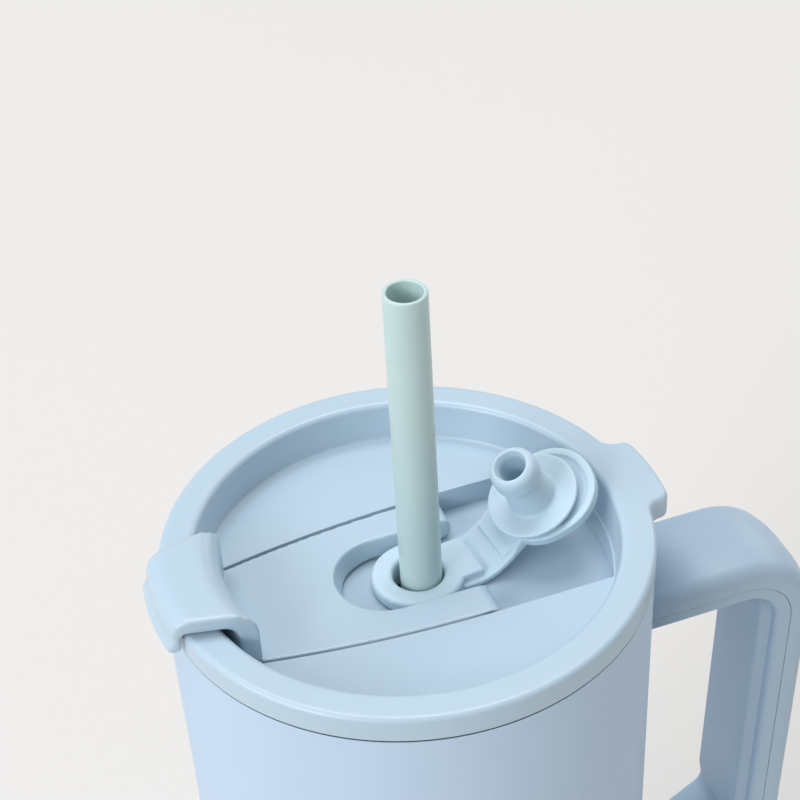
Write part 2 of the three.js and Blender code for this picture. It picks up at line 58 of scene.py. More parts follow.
def drawLine(mesh, corners, closed=False, segments=5):
    # corners are (x, z, radius) in the XZ plane; the radius is optional and rounds the corner
    verts = [mesh.verts.new((corner[0], 0, corner[1])) for corner in corners]
    pairs = list(zip(verts, verts[1:])) + ([(verts[-1], verts[0])] if closed else [])
    for first, second in pairs:
        mesh.edges.new((first, second))
    count = len(corners)
    runs = []
    for i, corner in enumerate(corners):
        if len(corner) > 2 and corner[2] and (closed or 0 < i < count - 1):
            here = verts[i].co
            half = (verts[i - 1].co - here).angle(verts[(i + 1) % count].co - here) / 2
            runs.append((verts[i], corner[2] / math.tan(half)))
    for vert, run in runs:
        bmesh.ops.bevel(mesh, geom=[vert], offset=run, offset_type="OFFSET", segments=segments,
                        profile=0.5, affect="VERTICES", material=-1)


def spinUp(mesh, steps):
    bmesh.ops.spin(mesh, geom=mesh.verts[:] + mesh.edges[:], cent=(0, 0, 0), axis=(0, 0, 1),
                   angle=fullTurn, steps=steps, use_merge=True)
    bmesh.ops.remove_doubles(mesh, verts=mesh.verts, dist=1e-4)


def turned(corners, closed=True, steps=192, segments=5, centreX=0.0):
    # a profile turned on the lathe; centreX moves the finished ring sideways
    mesh = bmesh.new()
    drawLine(mesh, corners, closed, segments)
    spinUp(mesh, steps)
    bmesh.ops.translate(mesh, vec=(centreX, 0, 0), verts=mesh.verts)
    return mesh


def fillFlat(mesh):
    return bmesh.ops.edgenet_fill(mesh, edges=mesh.edges[:])["faces"]


def raiseFlat(mesh, faces, height, scale=(1, 1, 1)):
    # pushes a flat outline straight up into a solid; scale draws its top in
    top = bmesh.ops.extrude_face_region(mesh, geom=faces, use_keep_orig=True)["geom"]
    verts = [item for item in top if isinstance(item, bmesh.types.BMVert)]
    bmesh.ops.translate(mesh, vec=(0, 0, height), verts=verts)
    bmesh.ops.scale(mesh, vec=scale, verts=verts)
    bmesh.ops.recalc_face_normals(mesh, faces=mesh.faces)


def roundEdges(mesh, edges, radius, segments=4):
    bmesh.ops.bevel(mesh, geom=edges, offset=radius, offset_type="OFFSET", segments=segments,
                    profile=0.5, affect="EDGES", material=-1)


def levelEdges(mesh, z):
    return [edge for edge in mesh.edges if all(abs(vert.co.z - z) < 1e-3 for vert in edge.verts)]


def makePiece(mesh, name, sharp=35):
    bmesh.ops.remove_doubles(mesh, verts=mesh.verts, dist=2e-4)
    bmesh.ops.recalc_face_normals(mesh, faces=mesh.faces)
    bmesh.ops.scale(mesh, vec=(mm, mm, mm), verts=mesh.verts)
    data = bpy.data.meshes.new(name)
    mesh.to_mesh(data)
    mesh.free()
    piece = bpy.data.objects.new(name, data)
    bpy.context.scene.collection.objects.link(piece)
    smoothBy(piece, sharp)
    return piece


def smoothBy(piece, degrees):
    data = piece.data
    mesh = bmesh.new()
    mesh.from_mesh(data)
    for face in mesh.faces:
        face.smooth = True
    for edge in mesh.edges:
        edge.smooth = edge.calc_face_angle(0) < math.radians(degrees)
    mesh.to_mesh(data)
    mesh.free()


def applyModifiers(piece):
    bpy.context.view_layer.update()
    ready = piece.evaluated_get(bpy.context.evaluated_depsgraph_get())
    data = bpy.data.meshes.new_from_object(ready)
    piece.modifiers.clear()
    piece.data = data


def carve(piece, tool, how="DIFFERENCE"):
    # how is DIFFERENCE, UNION or INTERSECT; the tool is used up
    cut = piece.modifiers.new("cut", "BOOLEAN")
    cut.operation = how
    cut.solver = "MANIFOLD"
    cut.object = tool
    applyModifiers(piece)
    bpy.data.objects.remove(tool)


def relaxOnce(mesh, verts):
    bmesh.ops.smooth_vert(mesh, verts=verts, factor=0.5, use_axis_x=True, use_axis_y=True, use_axis_z=True)


def recast(piece, voxel, relax):
    # one skin over joined solids, then its edges are eased as a mould leaves them
    remesh = piece.modifiers.new("cast", "REMESH")
    remesh.mode = "VOXEL"
    remesh.voxel_size = voxel * mm
    applyModifiers(piece)
    mesh = bmesh.new()
    mesh.from_mesh(piece.data)
    for _ in range(relax):
        relaxOnce(mesh, mesh.verts)
    mesh.to_mesh(piece.data)
    mesh.free()
    smoothBy(piece, 80)


def finishPiece(piece, material, body, slot, *nodes):
    piece.data.materials.clear()
    piece.data.materials.append(material)
    if body:
        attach(piece, body)
    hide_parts(*nodes)
    print("  made", piece.name, len(piece.data.polygons), "faces")


# materials: colours are sRGB hex, patterns are sized in millimetres on Object coordinates

dustColour = "#5f6d7c"


def colour(code):
    parts = [int(code[i:i + 2], 16) / 255 for i in (1, 3, 5)]
    return [p / 12.92 if p <= 0.04045 else ((p + 0.055) / 1.055) ** 2.4 for p in parts] + [1]


def addNode(material, kind, settings=None, links=None):
    node = material.node_tree.nodes.new(kind)
    for key, value in (settings or {}).items():
        setattr(node, key, value)
    for socket, value in (links or {}).items():
        if isinstance(value, bpy.types.NodeSocket):
            material.node_tree.links.new(value, node.inputs[socket])
        else:
            node.inputs[socket].default_value = value
    return node


def newFinish(name, look):
    # one shader for every moulded, coated or cast surface: two close shades, mottled roughness, fine grain
    material = bpy.data.materials.new(name)
    material.use_nodes = True
    material.node_tree.nodes.clear()
    place = addNode(material, "ShaderNodeTexCoord").outputs["Object"]
    cloud = addNode(material, "ShaderNodeTexNoise", None, {
        "Vector": place, "Scale": 1000 / look["cloud"], "Detail": 2.0})
    grain = addNode(material, "ShaderNodeTexNoise", None, {
        "Vector": place, "Scale": 1000 / look["grain"], "Detail": 3.0, "Roughness": 0.6})
    mix = addNode(material, "ShaderNodeMix", {"data_type": "RGBA"}, {
        0: cloud.outputs["Fac"], 6: colour(look["light"]), 7: colour(look["dark"])})
    tone = mix.outputs[2]
    if look.get("specks"):
        # stray dust and pigment grains, far apart
        dots = addNode(material, "ShaderNodeTexVoronoi", None, {
            "Vector": place, "Scale": 1000 / look["specks"], "Randomness": 1.0})
        near = addNode(material, "ShaderNodeMapRange", None, {
            "Value": dots.outputs["Distance"], "From Min": 0.0, "From Max": look["speckSize"],
            "To Min": look["speckDepth"], "To Max": 0.0})
        tone = addNode(material, "ShaderNodeMix", {"data_type": "RGBA"}, {
            0: near.outputs["Result"], 6: tone, 7: colour(dustColour)}).outputs[2]
    rough = addNode(material, "ShaderNodeMapRange", None, {
        "Value": cloud.outputs["Fac"], "From Min": 0.15, "From Max": 0.85,
        "To Min": look["rough"][0], "To Max": look["rough"][1]})
    bump = addNode(material, "ShaderNodeBump", None, {
        "Strength": look["bump"], "Distance": look["height"] * mm, "Height": grain.outputs["Fac"]})
    shader = addNode(material, "ShaderNodeBsdfPrincipled", None, {
        "Base Color": tone, "Roughness": rough.outputs["Result"], "IOR": look["ior"],
        "Normal": bump.outputs["Normal"], "Subsurface Radius": (1.0, 1.0, 1.0),
        "Subsurface Weight": look.get("glow", 0.0), "Subsurface Scale": look.get("glowDepth", 1.0) * mm})
    addNode(material, "ShaderNodeOutputMaterial", None, {"Surface": shader.outputs["BSDF"]})
    return material


# polyester powder coat over steel, oven cured: matt, with the faint orange peel of melted powder
powderCoat = newFinish("powderCoat", {
    "light": "#b9cde0", "dark": "#b3c8dc", "cloud": 22, "grain": 0.7, "rough": (0.5, 0.6),
    "bump": 0.28, "height": 0.05, "ior": 1.5, "specks": 9, "speckSize": 0.03, "speckDepth": 0.35})

# injection moulded polypropylene off a polished tool: even, milky, with a soft wide gloss
lidPlastic = newFinish("lidPlastic", {
    "light": "#b2c7d5", "dark": "#acc2d0", "cloud": 30, "grain": 1.1, "rough": (0.27, 0.36),
    "bump": 0.1, "height": 0.03, "ior": 1.49, "specks": 7, "speckSize": 0.028, "speckDepth": 0.45,
    "glow": 0.08, "glowDepth": 1.5})

# the same polypropylene off a fine spark-eroded tool: satin, so it reads duller than the lid
handlePlastic = newFinish("handlePlastic", {
    "light": "#a9bfd0", "dark": "#a3b9cb", "cloud": 26, "grain": 0.55, "rough": (0.4, 0.5),
    "bump": 0.22, "height": 0.04, "ior": 1.49, "specks": 10, "speckSize": 0.025, "speckDepth": 0.4})

# cast silicone rubber: matt and slightly see-through at thin edges, and it holds a little dust
silicone = newFinish("siliconeRubber", {
    "light": "#bdd3df", "dark": "#b7cedb", "cloud": 12, "grain": 0.4, "rough": (0.48, 0.6),
    "bump": 0.15, "height": 0.03, "ior": 1.41, "specks": 4, "speckSize": 0.04, "speckDepth": 0.35,
    "glow": 0.25, "glowDepth": 2.0})

# darker silicone of the foot pad, scuffed by the table
padSilicone = newFinish("padSilicone", {
    "light": "#a0b7d0", "dark": "#93a9c3", "cloud": 8, "grain": 0.5, "rough": (0.55, 0.75),
    "bump": 0.3, "height": 0.05, "ior": 1.41, "specks": 3, "speckSize": 0.06, "speckDepth": 0.3})

# extruded food-grade plastic, grey green, with drawing lines too fine to see
strawPlastic = newFinish("strawPlastic", {
    "light": "#b9cfce", "dark": "#b3cac9", "cloud": 18, "grain": 0.9, "rough": (0.3, 0.38),
    "bump": 0.06, "height": 0.02, "ior": 1.5, "specks": 8, "speckSize": 0.03, "speckDepth": 0.3,
    "glow": 0.2, "glowDepth": 2.5})

# sintered solder glass in the evacuation dimple: dark and wet looking
solderGlass = newFinish("solderGlass", {
    "light": "#3a3f48", "dark": "#30353d", "cloud": 2, "grain": 0.6, "rough": (0.08, 0.16),
    "bump": 0.15, "height": 0.05, "ior": 1.52})


def newSteel(name, look):
    # stainless steel, with fine lines round the Z axis where it was spun, or plain where it was pressed
    material = bpy.data.materials.new(name)
    material.use_nodes = True
    material.node_tree.nodes.clear()
    place = addNode(material, "ShaderNodeTexCoord").outputs["Object"]
    squeezed = addNode(material, "ShaderNodeMapping", None, {"Vector": place, "Scale": look["stretch"]})
    lines = addNode(material, "ShaderNodeTexNoise", None, {
        "Vector": squeezed.outputs["Vector"], "Scale": 1000 / look["grain"], "Detail": 4.0})
    cloud = addNode(material, "ShaderNodeTexNoise", None, {
        "Vector": place, "Scale": 1000 / look["cloud"], "Detail": 3.0})
    tone = addNode(material, "ShaderNodeMix", {"data_type": "RGBA"}, {
        0: lines.outputs["Fac"], 6: colour(look["light"]), 7: colour(look["dark"])})
    rough = addNode(material, "ShaderNodeMapRange", None, {
        "Value": cloud.outputs["Fac"], "From Min": 0.15, "From Max": 0.85,
        "To Min": look["rough"][0], "To Max": look["rough"][1]})
    bump = addNode(material, "ShaderNodeBump", None, {
        "Strength": 0.15, "Distance": 0.02 * mm, "Height": lines.outputs["Fac"]})
    shader = addNode(material, "ShaderNodeBsdfPrincipled", None, {
        "Base Color": tone.outputs[2], "Roughness": rough.outputs["Result"], "Metallic": 1.0,
        "Normal": bump.outputs["Normal"]})
    addNode(material, "ShaderNodeOutputMaterial", None, {"Surface": shader.outputs["BSDF"]})
    return material


# spun and electropolished 18/8 steel: bright, with spinning lines 0.3 mm apart, drawn at 0.5 mm to show
spunSteel = newSteel("spunSteel", {
    "light": "#c9ccd0", "dark": "#b4b7bc", "grain": 0.5, "cloud": 14, "rough": (0.22, 0.34),
    "stretch": (0.02, 0.02, 1.0)})

# pressed steel sheet and turned screws: plain satin
pressedSteel = newSteel("pressedSteel", {
    "light": "#c2c5c9", "dark": "#abaeb3", "grain": 0.6, "cloud": 5, "rough": (0.28, 0.42),
    "stretch": (1.0, 0.15, 1.0)})

# getter strip fired once: dull grey metal
getterMetal = newSteel("getterMetal", {
    "light": "#8e8f92", "dark": "#77787b", "grain": 0.5, "cloud": 2, "rough": (0.5, 0.65),
    "stretch": (1.0, 1.0, 1.0)})
print("materials ready")

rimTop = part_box("lid_body")[1].z / mm
land = rimTop - 8.6


# cup: a spun outer shell, a bright liner and a pad under the foot

cup = {"mouth": rimTop - 6.0, "wall": 0.8, "foot": 0.4, "padEdge": 32.7, "steps": 224,
       "footRadius": 36.6, "neck": 38, "shoulder": 48.6, "lip": 49.85, "linerLip": 48.35, "liner": 46.4}
footGrooves = {"radii": (29, 25.5, 22), "width": 1.5, "depth": 0.5, "edge": 0.15}


def makeCup():
    mouth, wall, foot = cup["mouth"], cup["wall"], cup["foot"]
    footRadius, neck, shoulder, lip = cup["footRadius"], cup["neck"], cup["shoulder"], cup["lip"]
    # the wall's top edge is chamfered inwards, which leaves a thin dark joint under the lid
    outer = makePiece(turned([
        (cup["padEdge"], foot, 0.2), (footRadius, foot, 3), (neck, 45, 14), (shoulder, 60, 10),
        (lip, mouth, 0.1), (lip - 0.2, mouth, 0.08), (lip - 0.85, mouth - 1, 0.3),
        (shoulder - wall, 60.2, 9.2), (neck - wall, 45.2, 14.8), (footRadius - wall, foot + wall, 2.2),
        (cup["padEdge"], foot + wall, 0.2)],
        steps=cup["steps"], segments=7), "cupShell")
    finishPiece(outer, powderCoat, "cup", "powder_coat", "outer_wall")
    inner = makePiece(turned([
        (0, 8), (33.6, 8, 6), (34.8, 47.5, 14), (45.3, 63, 10), (cup["liner"], 203, 1),
        (cup["linerLip"], 206, 1.5), (cup["linerLip"], mouth, 0.4), (cup["linerLip"] - 1.2, mouth, 0.4),
        (cup["liner"] - wall, 204.5, 1), (44.5, 63.4, 9.2),
        (34, 48, 14.8), (32.8, 8.8, 5.2), (0, 8.8)],
        closed=False, steps=160, segments=6), "linerShell")
    finishPiece(inner, spunSteel, "cup", "stainless_steel", "inner_liner")
    grooves = [(0, 1.4), (32.4, 1.4, 0.3), (32.4, 0, 0.5)]
    width, depth, edge = footGrooves["width"], footGrooves["depth"], footGrooves["edge"]
    for radius in footGrooves["radii"]:       # ring grooves that keep the pad from sliding
        grooves += [(radius, 0, edge), (radius - 0.3, depth, edge),
                    (radius - width + 0.3, depth, edge), (radius - width, 0, edge)]
    pad = makePiece(turned(grooves + [(0, 0)], closed=False, steps=128, segments=3), "footPad")
    finishPiece(pad, padSilicone, "cup", "base_silicone", "base_pad")


makeCup()
print("cup ready")


# handle: one section pushed along both arms and turned round both corners

handle = {
    "thick": 10.2, "half": 12.3, "start": (44.0, 189.5), "upperRadius": 18.2, "lowerRadius": 13.9,
    "gripTop": (91.58, 189.5), "gripFoot": (87.6, 90.0), "lowerEnd": 44.0, "slope": 32.4,
    "flat": 5.0, "crown": 18, "shoulder": 1.5, "edgeRound": 3.7, "parting": 6.6, "seam": 0.08, "sharp": 0.15,
    "innerStep": 0.12, "innerRound": 1.5, "cornerSteps": 26, "wallGap": 0.3, "screwHole": 3.1, "drill": 24,
}


def handleSweep(mesh):
    # mesh holds one closed section in the YZ plane through the start of the upper arm
    low, high = (Vector((handle[end][0], 0, handle[end][1])) for end in ("gripFoot", "gripTop"))
    grip = (low - high).normalized()
    slope = math.radians(handle["slope"])
    back = Vector((-math.cos(slope), 0, -math.sin(slope)))
    turnUp = Vector((1, 0, 0)).angle(grip)
    turnDown = grip.angle(back)
    runUp = handle["upperRadius"] * math.tan(turnUp / 2)
    runDown = handle["lowerRadius"] * math.tan(turnDown / 2)
    ends = mesh.edges[:]

    def push(edges, move):
        grown = bmesh.ops.extrude_edge_only(mesh, edges=edges)["geom"]
        bmesh.ops.translate(mesh, vec=move, verts=[g for g in grown if isinstance(g, bmesh.types.BMVert)])
        return [g for g in grown if isinstance(g, bmesh.types.BMEdge) and g.is_boundary]

    def bend(edges, centre, angle):
        last = bmesh.ops.spin(mesh, geom=edges + list({v for e in edges for v in e.verts}), cent=centre,
                              axis=(0, 1, 0), angle=angle, steps=handle["cornerSteps"])["geom_last"]
        return [g for g in last if isinstance(g, bmesh.types.BMEdge)]

    startX, startZ = handle["start"]
    ends = push(ends, (high.x - runUp - startX, 0, 0))
    ends = bend(ends, (high.x - runUp, 0, startZ - handle["upperRadius"]), turnUp)
    ends = push(ends, grip * ((low - high).length - runUp - runDown))
    inward = Vector((grip.z, 0, -grip.x))
    ends = bend(ends, low - grip * runDown + inward * handle["lowerRadius"], turnDown)
    reach = (low + back * runDown).x - handle["lowerEnd"]
    push(ends, back * (reach / math.cos(slope)))
    bmesh.ops.holes_fill(mesh, edges=mesh.edges[:], sides=0)


def bodyBlank(grow):
    # the space that the cup takes, for trimming the ends of the arms
    foot, top = cup["foot"], cup["mouth"] + 5
    mesh = turned([(0, foot), (cup["footRadius"] + grow, foot, 3), (cup["neck"] + grow, 45, 14),
                   (48.5 + grow, 60, 10), (49.5 + grow, top), (0, top)],
                  closed=False, steps=cup["steps"], segments=7)
    return makePiece(mesh, "bodyBlank")


def screwBlank(x, z, angle, side, radius, start, depth):
    # a round cutter square to an arm's inner face
    mesh = bmesh.new()
    bmesh.ops.create_cone(mesh, cap_ends=True, segments=40, radius1=radius, radius2=radius, depth=depth)
    bmesh.ops.translate(mesh, vec=(0, 0, start + depth / 2), verts=mesh.verts)
    spot = Matrix.Translation((x, 0, z)) @ Matrix.Rotation(-angle if side > 0 else math.pi - angle, 4, "Y")
    bmesh.ops.transform(mesh, matrix=spot, verts=mesh.verts)
    return makePiece(mesh, "screwBlank")


def boxCentre(node):
    low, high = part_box(node)
    return (low + high) / (2 * mm)


def makeHandle():
    half, parting, drop = handle["half"], handle["parting"], handle["shoulder"]
    startX, startZ = handle["start"]
    # a barely crowned outer face that turns over a soft edge into plain sides
    flat, crown, edge, sharp = handle["flat"], handle["crown"], handle["edgeRound"], handle["sharp"]
    shell = bmesh.new()
    drawLine(shell, [(half, -drop, edge), (half, -parting, sharp), (-half, -parting, sharp),
                     (-half, -drop, edge), (-flat, 0, crown), (flat, 0, crown)], closed=True, segments=8)
    cover = bmesh.new()
    inner, joint = half - handle["innerStep"], -parting - handle["seam"]
    drawLine(cover, [(inner, joint, sharp), (inner, -handle["thick"], handle["innerRound"]),
                     (-inner, -handle["thick"], handle["innerRound"]), (-inner, joint, sharp)],
             closed=True, segments=5)
    pieces = []
    for name, mesh in (("handleOuter", shell), ("handleInner", cover)):
        bmesh.ops.rotate(mesh, cent=(0, 0, 0), matrix=Matrix.Rotation(math.pi / 2, 3, "Z"), verts=mesh.verts)
        bmesh.ops.translate(mesh, vec=(startX, 0, startZ), verts=mesh.verts)
        handleSweep(mesh)
        piece = makePiece(mesh, name, 30)
        carve(piece, bodyBlank(handle["wallGap"]))
        pieces.append(piece)
    slope = math.radians(handle["slope"])
    for node, angle, side in (("handle_screw_top", 0.0, 1), ("handle_screw_bottom", slope, -1)):
        spot = boxCentre(node)
        drill = handle["drill"]
        carve(pieces[1], screwBlank(spot.x, spot.z, angle, side, handle["screwHole"], -drill / 2, drill))
    finishPiece(pieces[0], handlePlastic, "cup", "handle_plastic", "handle_shell")
    finishPiece(pieces[1], handlePlastic, "cup", "handle_plastic", "handle_cover")


gripPad = {"bottom": 101.0, "top": 176.5, "half": 10.0, "corner": 5.0, "rise": 2.7,
           "draft": 0.87, "endDraft": 0.975, "soft": 0.7, "sunk": 0.15}
gripLine = {"x": 90, "z": 150, "lean": 0.04}      # the grip's outer face half way up, and how it leans in


def makeGripPad():
    mesh = bmesh.new()
    length = gripPad["top"] - gripPad["bottom"]
    half, corner = gripPad["half"], gripPad["corner"]
    drawLine(mesh, [(-length / 2, -half, corner), (length / 2, -half, corner),
                    (length / 2, half, corner), (-length / 2, half, corner)], closed=True, segments=8)
    bmesh.ops.rotate(mesh, cent=(0, 0, 0), matrix=Matrix.Rotation(-math.pi / 2, 3, "X"), verts=mesh.verts)
    faces = fillFlat(mesh)
    raiseFlat(mesh, faces, gripPad["rise"], (gripPad["endDraft"], gripPad["draft"], 1))
    roundEdges(mesh, levelEdges(mesh, gripPad["rise"]), gripPad["soft"], 4)
    lean = math.atan(gripLine["lean"])
    middle = (gripPad["top"] + gripPad["bottom"]) / 2
    faceX = gripLine["x"] + gripLine["lean"] * (middle - gripLine["z"]) - handle["thick"] / math.cos(lean)
    spot = Matrix.Translation((faceX + gripPad["sunk"], 0, middle))
    spot = spot @ Matrix.Rotation(lean - math.pi / 2, 4, "Y")
    bmesh.ops.transform(mesh, matrix=spot, verts=mesh.verts)
    finishPiece(makePiece(mesh, "gripPadding", 30), handlePlastic, "cup", "handle_plastic", "grip_pad")


makeHandle()
makeGripPad()
print("handle ready")


# lid: a turned disc whose rim grows a lift tab, with a channel cut in it for the lever

lid = {
    "rim": 50.0, "band": 5.7, "tabReach": 54.7, "tabRoot": 12.1, "tabTip": 10.2, "tabHalf": 14.7,
    "rootRound": 3.2, "tipRound": 2.2, "flatEdge": 45.4, "skirt": 45, "skirtInner": 42.6, "skirtBottom": 197,
    "groove": 43.8, "grooveTop": 202.2, "grooveBottom": 199.2, "tray": 43.6, "steps": 240,
    "topRound": 1.2, "underRound": 0.5, "mouth": 43.2, "mouthRound": 1.3, "bowl": 42.0, "bowlRound": 0.8,
}
pivot = (10.5, rimTop - 11.1)      # x and z of the lever's pins
channel = {"half": 19.1, "arcStart": 13.0, "arc": 262.0, "end": 41.7, "floor": rimTop - 14, "thick": 2.0,
           "wall": 2.5, "reach": 46}
strawHole = {"x": 2.1, "radius": 7.5}
sipHole = {"x": -32.5, "hole": (6.5, 3.3), "seat": (8.5, 4.7), "seal": (8.2, 4.4), "sealTop": rimTop - 11.2,
           "sealBottom": rimTop - 13.7}
pinBore = {"radius": 1.8, "inner": 11.7, "wall": 18, "outer": 21}


def channelHalf(x, grow=0.0):
    # half width of the channel's plan: straight at the handle side, closing in towards the hook
    radius = channel["arc"] - grow
    past = max(channel["arcStart"] - x, 0)
    return channel["half"] + grow - (radius - math.sqrt(radius ** 2 - past ** 2))


def channelBlank(grow, left, right, bottom, top, steps=48):
    mesh = bmesh.new()
    bmesh.ops.create_grid(mesh, x_segments=steps, y_segments=1, size=0.5)
    for vert in mesh.verts:
        x = left + (right - left) * (vert.co.x + 0.5)
        vert.co = (x, math.copysign(channelHalf(x, grow), vert.co.y), bottom)
    raiseFlat(mesh, mesh.faces[:], top - bottom)
    return mesh


def discBlank(radius, bottom, top, x=0.0, segments=192):
    mesh = bmesh.new()
    bmesh.ops.create_cone(mesh, cap_ends=True, segments=segments, radius1=radius,
                          radius2=radius, depth=top - bottom)
    bmesh.ops.translate(mesh, vec=(x, 0, (top + bottom) / 2), verts=mesh.verts)
    return mesh


def slotBlank(x, halfLength, halfWidth, bottom, top, segments=12):
    mesh = bmesh.new()
    end = halfWidth * 0.999       # just under the half width, so that the two roundings don't overlap
    drawLine(mesh, [(-halfWidth, -halfLength, end), (halfWidth, -halfLength, end),
                    (halfWidth, halfLength, end), (-halfWidth, halfLength, end)],
             closed=True, segments=segments)
    bmesh.ops.rotate(mesh, cent=(0, 0, 0), matrix=Matrix.Rotation(-math.pi / 2, 3, "X"), verts=mesh.verts)
    bmesh.ops.translate(mesh, vec=(x, 0, bottom), verts=mesh.verts)
    bmesh.ops.remove_doubles(mesh, verts=mesh.verts, dist=0.02)
    raiseFlat(mesh, fillFlat(mesh), top - bottom)
    return mesh


def rodBlank(radius, fromY, toY, x, z):
    mesh = bmesh.new()
    bmesh.ops.create_cone(mesh, cap_ends=True, segments=32, radius1=radius, radius2=radius,
                          depth=abs(toY - fromY))
    bmesh.ops.rotate(mesh, cent=(0, 0, 0), matrix=Matrix.Rotation(math.pi / 2, 3, "X"), verts=mesh.verts)
    bmesh.ops.translate(mesh, vec=(x, (fromY + toY) / 2, z), verts=mesh.verts)
    return mesh


def polar(radius, degrees, z):
    angle = math.radians(degrees)
    return Vector((radius * math.cos(angle), radius * math.sin(angle), z))


def rimOutline(mesh, z):
    # circle with the lift tab let into it
    ring = bmesh.ops.create_circle(mesh, cap_ends=False, segments=lid["steps"], radius=lid["rim"])["verts"]
    bmesh.ops.translate(mesh, vec=(0, 0, z), verts=ring)
    gone = [vert for vert in ring if abs(math.degrees(math.atan2(vert.co.y, vert.co.x))) < lid["tabHalf"]]
    bmesh.ops.delete(mesh, geom=gone, context="VERTS")
    left = sorted((vert for vert in mesh.verts if vert.co.x > 0), key=lambda vert: abs(vert.co.y))[:2]
    low, high = sorted(left, key=lambda vert: vert.co.y)
    tip = [polar(lid["tabReach"], degrees, z) for degrees in range(-8, 9, 2)]
    points = [polar(lid["rim"] + 0.05, -lid["tabRoot"], z), polar(lid["tabReach"], -lid["tabTip"], z), *tip,
              polar(lid["tabReach"], lid["tabTip"], z), polar(lid["rim"] + 0.05, lid["tabRoot"], z)]
    verts = [low] + [mesh.verts.new(point) for point in points] + [high]
    for first, second in zip(verts, verts[1:]):
        mesh.edges.new((first, second))
    rounds = ((verts[1], "rootRound"), (verts[2], "tipRound"),
              (verts[-3], "tipRound"), (verts[-2], "rootRound"))
    for vert, radius in rounds:
        sides = [edge.other_vert(vert).co - vert.co for edge in vert.link_edges]
        run = lid[radius] / math.tan(sides[0].angle(sides[1]) / 2)
        bmesh.ops.bevel(mesh, geom=[vert], offset=run, offset_type="OFFSET", segments=8,
                        profile=0.5, affect="VERTICES", material=-1)


def openLoop(mesh, z, near):
    # boundary edges at one height on the near side of a radius range
    return [edge for edge in mesh.edges if edge.is_boundary
            and all(abs(vert.co.z - z) < 1e-3 and near[0] < vert.co.xy.length < near[1]
                    for vert in edge.verts)]


def makeLid():
    under = rimTop - lid["band"]
    mesh = bmesh.new()
    rimOutline(mesh, under)
    raiseFlat(mesh, fillFlat(mesh), lid["band"])
    roundEdges(mesh, levelEdges(mesh, rimTop), lid["topRound"], 7)
    roundEdges(mesh, levelEdges(mesh, under), lid["underRound"], 3)
    flats = [face for face in mesh.faces if len(face.verts) > 100]
    # a narrow flat border keeps the roundings from shading into the flats
    bmesh.ops.inset_individual(mesh, faces=flats, thickness=0.4, depth=0, use_even_offset=True)
    bmesh.ops.delete(mesh, geom=flats, context="FACES_ONLY")
    # inside of the rim and the flat land
    inside = turned([(lid["flatEdge"], rimTop), (lid["mouth"], rimTop, lid["mouthRound"]),
                     (lid["bowl"], land, lid["bowlRound"]), (38, land), (20, land), (0, land)],
                    closed=False, steps=lid["steps"], segments=6)
    wide, narrow, groove, bottom = lid["skirt"], lid["skirtInner"], lid["groove"], lid["skirtBottom"]
    high, low, below = lid["grooveTop"], lid["grooveBottom"], land - 2
    skirt = turned([(48.6, under), (wide, under, 0.5), (wide, high), (groove, high), (groove, low),
                    (wide, low), (wide, bottom, 0.6), (narrow, bottom, 0.6), (narrow, below, 1.5),
                    (20, below), (0, below)],
                   closed=False, steps=lid["steps"], segments=4)
    for part in (inside, skirt):
        data = bpy.data.meshes.new("part")
        part.to_mesh(data)
        part.free()
        mesh.from_mesh(data)
        bpy.data.meshes.remove(data)
    bmesh.ops.triangle_fill(mesh, edges=openLoop(mesh, rimTop, (45, 56)), use_beauty=True, normal=(0, 0, 1))
    bmesh.ops.triangle_fill(mesh, edges=openLoop(mesh, under, (48, 56)), use_beauty=True, normal=(0, 0, -1))
    body = makePiece(mesh, "lidBody")
    floor = channel["floor"] - channel["thick"]
    reach = channel["reach"]
    tray = makePiece(channelBlank(channel["wall"], -reach, reach, floor, land - 1), "tray")
    carve(tray, makePiece(discBlank(lid["tray"], floor - 1, land), "disc"), "INTERSECT")
    carve(body, tray, "UNION")
    pocket = makePiece(channelBlank(0, -reach, reach, channel["floor"], land + 0.3), "pocket")
    carve(pocket, makePiece(discBlank(channel["end"], channel["floor"] - 1, land + 0.4), "disc"), "INTERSECT")
    carve(body, pocket)
    carve(body, makePiece(discBlank(strawHole["radius"], floor - 1, land, strawHole["x"], 64), "hole"))
    carve(body, makePiece(slotBlank(sipHole["x"], *sipHole["hole"], floor - 1, land), "sipHole"))
    for side in (-1, 1):
        pin = rodBlank(pinBore["radius"], side * pinBore["wall"], side * pinBore["outer"], *pivot)
        carve(body, makePiece(pin, "pinHole"))
    smoothBy(body, 32)
    evener = body.modifiers.new("evener", "WEIGHTED_NORMAL")      # keeps the flats flat beside the roundings
    evener.mode, evener.weight, evener.keep_sharp = "FACE_AREA", 50, True
    applyModifiers(body)
    finishPiece(body, lidPlastic, "lid", "lid_plastic", "lid_body")
    gasket = makePiece(turned([
        (44.1, 199.5, 0.3), (45, 199.5, 0.3), (45.25, 200.0, 0.2), (44.95, 200.85, 0.2),
        (45.25, 201.4, 0.2), (45, 201.9, 0.3), (44.1, 201.9, 0.3)], steps=192, segments=3), "lidGasket")
    finishPiece(gasket, silicone, "lid", "silicone", "lid_gasket")


makeLid()
print("lid ready")


# lever: a fork at the pivot, a flat plate and a hook that climbs over the rim

